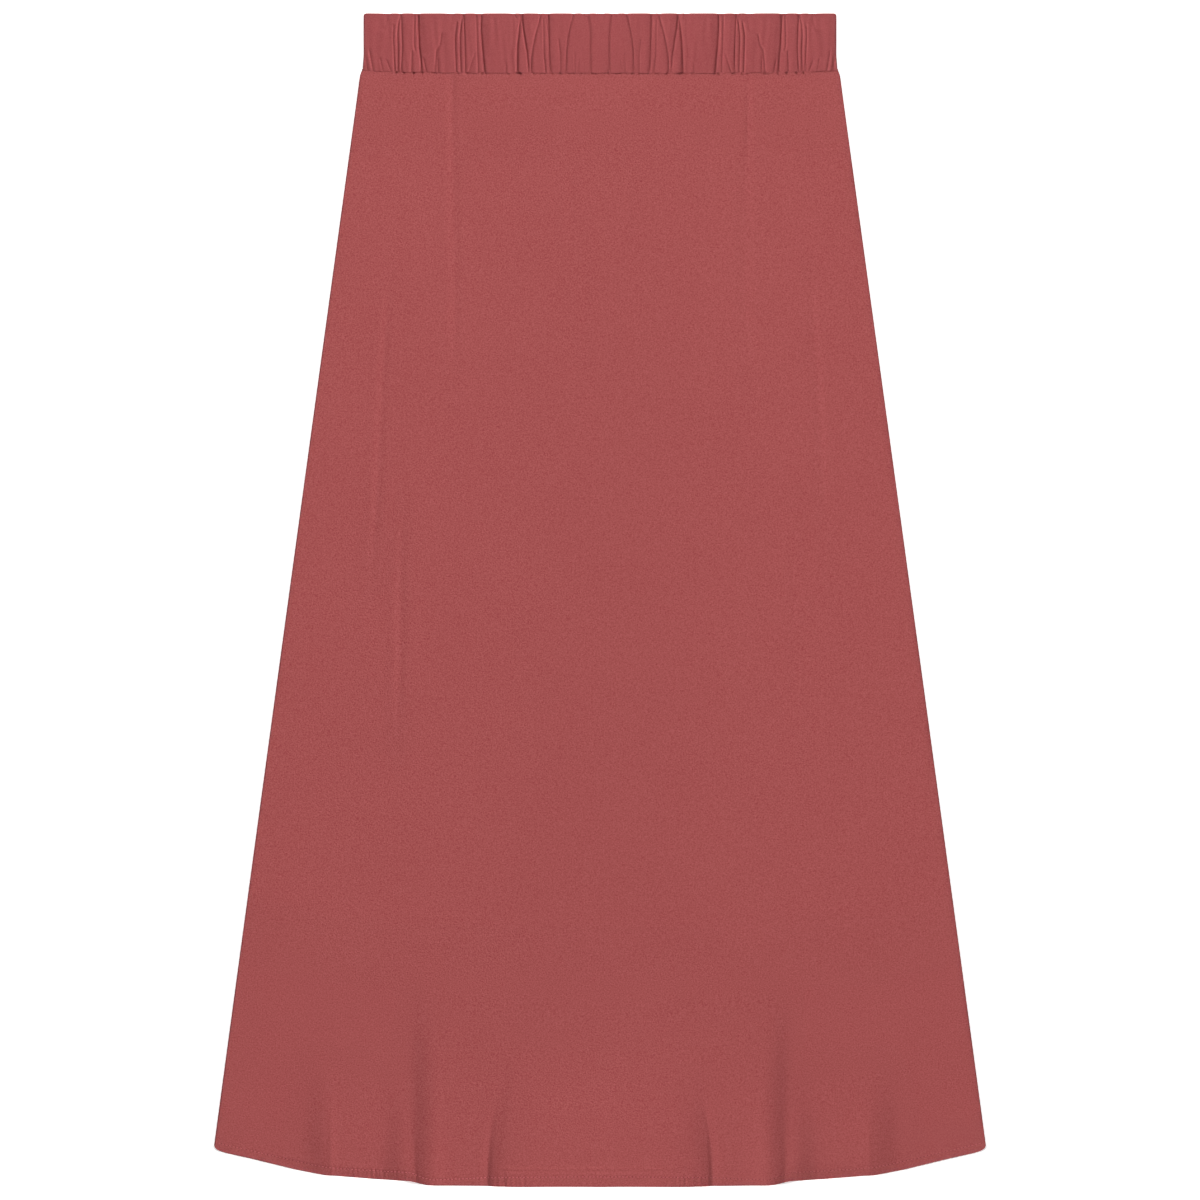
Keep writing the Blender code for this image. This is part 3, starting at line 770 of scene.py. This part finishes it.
def add_needle_hole_shade(verts, faces, centre, wide, high, facing):
    """A small lens in the cloth, closed on both sides, that carries the painted shade of a needle hole's
    dip.
    """
    base = len(verts)
    for depth in HOLE_MIDDLES:
        verts.append((centre[0], centre[1], max(centre[2] + depth * MM * facing, 0.0)))
    for side in range(HOLE_SIDES):
        angle = 2 * math.pi * side / HOLE_SIDES
        rim = centre + np.array((wide * math.cos(angle), high * math.sin(angle), HOLE_RIM * MM * facing))
        verts.append((rim[0], rim[1], max(rim[2], 0.0)))
        near = base + 2 + side
        after = base + 2 + (side + 1) % HOLE_SIDES
        faces.append((base, near, after)[::facing])
        faces.append((base + 1, after, near)[::facing])


def stitch_row(name, facing, outer, materials):
    """Stitches along the hem, with a needle hole after each. The materials are the thread and the needle
    holes' painted shade.
    """
    across = np.arange(-STITCH_ROW_HALF, STITCH_ROW_HALF, STITCH_PATH_STEP)
    line_y = stitch_y(across)
    hem_rows = outer[-46:1 - HEM_TURN_STEPS]  # without those that turn under
    line_z = np.interp(across, across[::8], surface_height(hem_rows, across[::8], line_y[::8]))
    path = np.stack([across, line_y, line_z], axis=1)
    lengths = np.concatenate([[0], np.cumsum(np.linalg.norm(np.diff(path, axis=0), axis=1))])
    random = np.random.default_rng(7 + facing)
    verts, faces, is_hole_shade = [], [], []
    for number in range(int(lengths[-1] / STITCH_PITCH)):
        scatter = random.uniform(-STITCH_SCATTER, STITCH_SCATTER) * MM
        centre_at = (number + 0.5) * STITCH_PITCH + scatter
        length = STITCH_LENGTH * random.uniform(*STITCH_LENGTH_SPREAD)
        tilt = random.uniform(-STITCH_TILT, STITCH_TILT)
        add_stitch(verts, faces, path, lengths, centre_at, length, tilt, facing)
        is_hole_shade += [0] * (len(faces) - len(is_hole_shade))
        centre = path_point(path, lengths, centre_at + STITCH_PITCH / 2)
        wide = random.uniform(*HOLE_HALF_WIDTHS) * MM
        high = random.uniform(*HOLE_HALF_HEIGHTS) * MM
        add_needle_hole_shade(verts, faces, centre, wide, high, facing)
        is_hole_shade += [1] * (len(faces) - len(is_hole_shade))
    mesh = bpy.data.meshes.new(name)
    mesh.from_pydata(verts, [], faces)
    mesh.shade_smooth()
    for material in materials:
        mesh.materials.append(material)
    mesh.polygons.foreach_set("material_index", is_hole_shade)
    return linked(name, mesh)


def shaded_material(name, settings):
    """A new material, its nodes and its shader, with these of the shader's inputs set."""
    material = bpy.data.materials.new(name)
    material.use_nodes = True
    shader = material.node_tree.nodes["Principled BSDF"]
    for socket, value in settings.items():
        shader.inputs[socket].default_value = value
    return material, material.node_tree, shader


def object_coordinates(tree):
    return tree.nodes.new("ShaderNodeTexCoord").outputs["Object"]


def texture(tree, kind, coordinates, **inputs):
    """A texture node on these coordinates, with its inputs set by their names."""
    made = tree.nodes.new(kind)
    for name, value in inputs.items():
        made.inputs[name].default_value = value
    tree.links.new(coordinates, made.inputs["Vector"])
    return made


def noise(tree, coordinates, scale, detail, roughness=0.5):
    made = texture(tree, "ShaderNodeTexNoise", coordinates, Scale=scale, Detail=detail, Roughness=roughness)
    return made.outputs["Fac"]


def stretched(tree, coordinates, scale):
    made = tree.nodes.new("ShaderNodeMapping")
    made.inputs["Scale"].default_value = scale
    tree.links.new(coordinates, made.inputs["Vector"])
    return made.outputs["Vector"]


def remapped(tree, value, low, high, to_low, to_high):
    """A value's range from low to high, mapped to another range."""
    made = tree.nodes.new("ShaderNodeMapRange")
    for name, number in (("From Min", low), ("From Max", high), ("To Min", to_low), ("To Max", to_high)):
        made.inputs[name].default_value = number
    tree.links.new(value, made.inputs["Value"])
    return made.outputs["Result"]


def added(tree, first, second):
    made = tree.nodes.new("ShaderNodeMath")
    made.operation = "ADD"
    tree.links.new(first, made.inputs[0])
    tree.links.new(second, made.inputs[1])
    return made.outputs[0]


def scaled(tree, value, factor):
    made = tree.nodes.new("ShaderNodeMath")
    made.operation = "MULTIPLY"
    tree.links.new(value, made.inputs[0])
    made.inputs[1].default_value = factor
    return made.outputs[0]


def cloth_material(name, colour, grain, contrast, roughness, sheen, bump):
    """Crepe: short twisted yarns both ways, a sandy grain in colour and relief, and slow changes of tone."""
    material, tree, shader = shaded_material(name, {
        "Specular IOR Level": 0.12,
        "Sheen Weight": sheen,
        "Sheen Roughness": 0.5,
        "Sheen Tint": SHEEN_TINT,
    })
    coordinates = object_coordinates(tree)
    warp = noise(tree, stretched(tree, coordinates, (1.0, 0.55, 1.0)), 1 / grain, 1.5)
    weft = noise(tree, stretched(tree, coordinates, (0.55, 1.0, 1.0)), 1 / grain, 1.5)
    yarn = added(tree, scaled(tree, warp, 0.5), scaled(tree, weft, 0.5))
    speck = noise(tree, coordinates, 0.75 / grain, 2.0, 0.7)
    cloudy = noise(tree, coordinates, 14.0, 3.0)

    speck_tone = remapped(tree, speck, 0.3, 0.7, -contrast, contrast)
    yarn_tone = remapped(tree, yarn, 0.35, 0.65, -0.6 * contrast, 0.6 * contrast)
    cloudy_tone = remapped(tree, cloudy, 0.3, 0.7, -0.006, 0.006)
    tone = added(tree, added(tree, speck_tone, yarn_tone), cloudy_tone)
    tint = tree.nodes.new("ShaderNodeVectorMath")
    tint.operation = "MULTIPLY_ADD"
    tree.links.new(tone, tint.inputs[0])
    tint.inputs[1].default_value = [part * swing for part, swing in zip(colour, PALE_SWING)]
    tint.inputs[2].default_value = colour
    tree.links.new(tint.outputs[0], shader.inputs["Base Color"])

    dullness = remapped(tree, yarn, 0.3, 0.7, roughness - 0.06, roughness + 0.06)
    tree.links.new(dullness, shader.inputs["Roughness"])
    relief = tree.nodes.new("ShaderNodeBump")
    relief.inputs["Strength"].default_value = bump
    relief.inputs["Distance"].default_value = grain * 0.5
    tree.links.new(added(tree, yarn, scaled(tree, speck, 0.6)), relief.inputs["Height"])
    tree.links.new(relief.outputs["Normal"], shader.inputs["Normal"])
    return material


def thread_material(name, colour):
    """Polyester thread: a fine twist of light and dark along it, with a low gloss."""
    material, tree, shader = shaded_material(name, {"Specular IOR Level": 0.25})
    coordinates = object_coordinates(tree)
    wave = texture(tree, "ShaderNodeTexWave", coordinates, Scale=2600.0, Distortion=0.6, Detail=1.0)
    wave.bands_direction = "DIAGONAL"
    twist = wave.outputs["Fac"]
    tint = tree.nodes.new("ShaderNodeVectorMath")
    tint.operation = "SCALE"
    tint.inputs[0].default_value = colour
    tree.links.new(remapped(tree, twist, 0.0, 1.0, 0.86, 1.1), tint.inputs["Scale"])
    tree.links.new(tint.outputs[0], shader.inputs["Base Color"])
    tree.links.new(remapped(tree, twist, 0.0, 1.0, 0.42, 0.55), shader.inputs["Roughness"])
    return material


def area_light(name, slant, target, distance, size, power, spread=180.0):
    """A rectangular light. Seen from its target it lies at (x, y) slants from straight up, in degrees."""
    light = bpy.data.lights.new(name, "AREA")
    light.shape = "RECTANGLE"
    light.size, light.size_y = size
    light.energy = power
    light.spread = math.radians(spread)
    slant_x, slant_y = (math.tan(math.radians(angle)) for angle in slant)
    towards = Vector((slant_x, slant_y, 1.0)).normalized()
    along_y = (Vector((0, 1, 0)) - towards * towards.y).normalized()
    turn = Matrix((along_y.cross(towards), along_y, towards)).transposed().to_4x4()
    linked(name, light).matrix_world = Matrix.Translation(Vector(target) + towards * distance) @ turn


crepe = cloth_material(
    "crepe", CREPE, grain=0.65 * MM, contrast=0.108, roughness=0.88, sheen=0.08, bump=0.35)
band_cloth = cloth_material(
    "waistband crepe", BAND, grain=0.55 * MM, contrast=0.06, roughness=0.70, sheen=0.10, bump=0.2)
thread = thread_material("hem thread", THREAD)
# Needle holes: the cloth's grain in a dark colour, painted shade of the dips where the stitches go in
needle_hole_shade = cloth_material(
    "needle hole painted shade", NEEDLE_HOLE_SHADE, grain=0.5 * MM, contrast=0.2, roughness=0.9, sheen=0.0, bump=0.3)

front_outer, front_inner = panel_shell(FACE_UP, columns=740, steps=(24, 36, 28))
front_inner = thinned(front_inner, rows=42, columns=186)
front = closed_cloth("skirt_front", front_outer, front_inner, crepe)

back_outer, back_inner = panel_shell(FACE_DOWN, columns=372, steps=(20, 32, 18))
back_inner = thinned(back_inner, rows=42, columns=94)
back = closed_cloth("skirt_back", back_outer, back_inner, crepe)

band_front_outer, band_front_inner = band_shell(FACE_UP, columns=1060, rows=54)
band_front_inner = thinned(band_front_inner, rows=9, columns=212)
band_front = closed_cloth("waistband_gathers_front", band_front_outer, band_front_inner, band_cloth)

band_back_outer, band_back_inner = band_shell(FACE_DOWN, columns=620, rows=36)
band_back_inner = thinned(band_back_inner, rows=9, columns=124)
band_back = closed_cloth("waistband_gathers_back", band_back_outer, band_back_inner, band_cloth)

front_stitches = stitch_row("hem_stitches_front", FACE_UP, front_outer, [thread, needle_hole_shade])
back_stitches = stitch_row("hem_stitches_back", FACE_DOWN, back_outer, [thread, needle_hole_shade])

for piece, nodes, slot in (
    (front, ["front_panel"], "crepe_cloth"),
    (back, ["back_panel"], "crepe_cloth"),
    (band_front, ["waistband_front"], "waistband_cloth"),
    (band_back, ["waistband_back"], "waistband_cloth"),
    (front_stitches, [], "crepe_cloth"),
    (back_stitches, [], "crepe_cloth"),
):
    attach(piece, "root")
    if nodes:
        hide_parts(*nodes)

floor_mesh = bpy.data.meshes.new("floor")
floor_corners = [(x * FLOOR_HALF, y * FLOOR_HALF, FLOOR_Z) for x, y in ((-1, -1), (1, -1), (1, 1), (-1, 1))]
floor_mesh.from_pydata(floor_corners, [], [(0, 1, 2, 3)])
floor_mesh.materials.append(shaded_material("floor", {
    "Base Color": FLOOR_GREY,
    "Roughness": 0.9,
    "Specular IOR Level": 0.1,
    "Emission Color": WHITE,
    "Emission Strength": 0.6,
})[0])
floor = linked("floor", floor_mesh)

world = bpy.data.worlds.new("studio")
world.use_nodes = True
world.node_tree.nodes["Background"].inputs["Color"].default_value = WHITE
world.node_tree.nodes["Background"].inputs["Strength"].default_value = 0.20
bpy.context.scene.world = world
area_light("overhead", slant=(0.0, 30.0), target=(0.0, 0.0, 0.0), distance=2.8, size=(1.6, 1.4), power=36.5)
for side in (-1, 1):
    area_light(
        "across", slant=(-BEAM_SLANT * side, 6.0), target=(BEAM_TARGET_X * side, 0.0, 0.0), distance=2.6,
        size=BEAM_SIZE, power=2.86, spread=BEAM_SPREAD)

camera_data = bpy.data.cameras.new("camera")
camera_data.lens = 100.0
camera_data.sensor_width = 36.0
camera = linked("camera", camera_data)
camera.location = (0.0, 0.0, CAMERA_HEIGHT)
bpy.context.scene.camera = camera
bpy.context.scene.view_settings.view_transform = "Standard"
